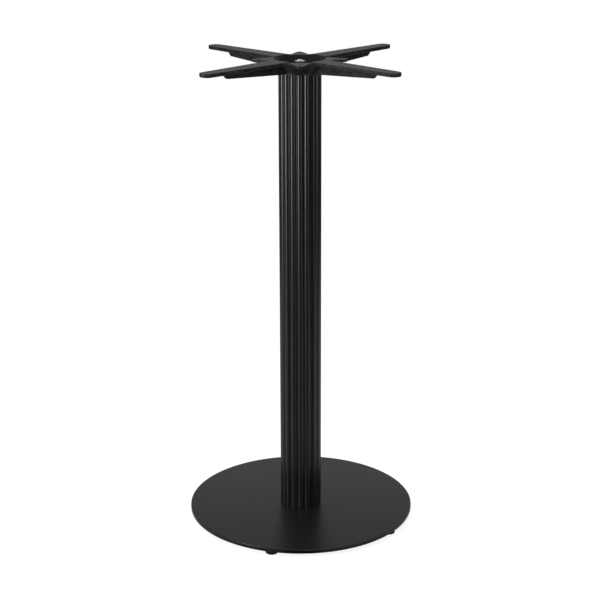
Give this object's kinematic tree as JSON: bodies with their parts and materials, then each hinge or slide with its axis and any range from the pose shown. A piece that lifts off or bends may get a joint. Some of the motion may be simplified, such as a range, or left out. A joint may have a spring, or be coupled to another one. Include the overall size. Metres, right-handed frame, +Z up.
{
  "type": "fluted round table base",
  "caption": "Bar-height table pedestal: flat round plate on levelling feet, fluted tube column and a cast cross-shaped spider that a table top is screwed to.",
  "frame": {"origin": "on the floor, on the column's axis", "axes": "+Z up along the column, -Y to the front, arms at 45 degrees to X and Y"},
  "size_m": [0.5399, 0.54, 1.11],
  "materials": {
    "plate_coat": "satin black powder coat with a fine grain",
    "column_coat": "semi-gloss black coat",
    "spider_coat": "satin black coat over a cast surface",
    "zinc_steel": "zinc plated",
    "bare_steel": "turned, bare",
    "foot_plastic": "moulded, matte"
  },
  "bodies": {
    "pedestal": {"base_plate": "plate_coat", "column_locator": "bare_steel", "fluted_column": "column_coat", "tie_rod": "zinc_steel", "spider": "spider_coat", "rod_washer": "zinc_steel", "rod_nut": "zinc_steel"},
    "foot_1": {"foot_pad_1": "foot_plastic", "foot_stud_1": "zinc_steel"},
    "foot_2": {"foot_pad_2": "foot_plastic", "foot_stud_2": "zinc_steel"},
    "foot_3": {"foot_pad_3": "foot_plastic", "foot_stud_3": "zinc_steel"},
    "foot_4": {"foot_pad_4": "foot_plastic", "foot_stud_4": "zinc_steel"},
    "foot_5": {"foot_pad_5": "foot_plastic", "foot_stud_5": "zinc_steel"}
  },
  "joints": [
    {"name": "foot_1_screw", "type": "slide", "parent": "pedestal", "child": "foot_1", "axis": [0, 0, -1], "range_m": [0, 0.004]},
    {"name": "foot_2_screw", "type": "slide", "parent": "pedestal", "child": "foot_2", "axis": [0, 0, -1], "range_m": [0, 0.004]},
    {"name": "foot_3_screw", "type": "slide", "parent": "pedestal", "child": "foot_3", "axis": [0, 0, -1], "range_m": [0, 0.004]},
    {"name": "foot_4_screw", "type": "slide", "parent": "pedestal", "child": "foot_4", "axis": [0, 0, -1], "range_m": [0, 0.004]},
    {"name": "foot_5_screw", "type": "slide", "parent": "pedestal", "child": "foot_5", "axis": [0, 0, -1], "range_m": [0, 0.004]}
  ]
}
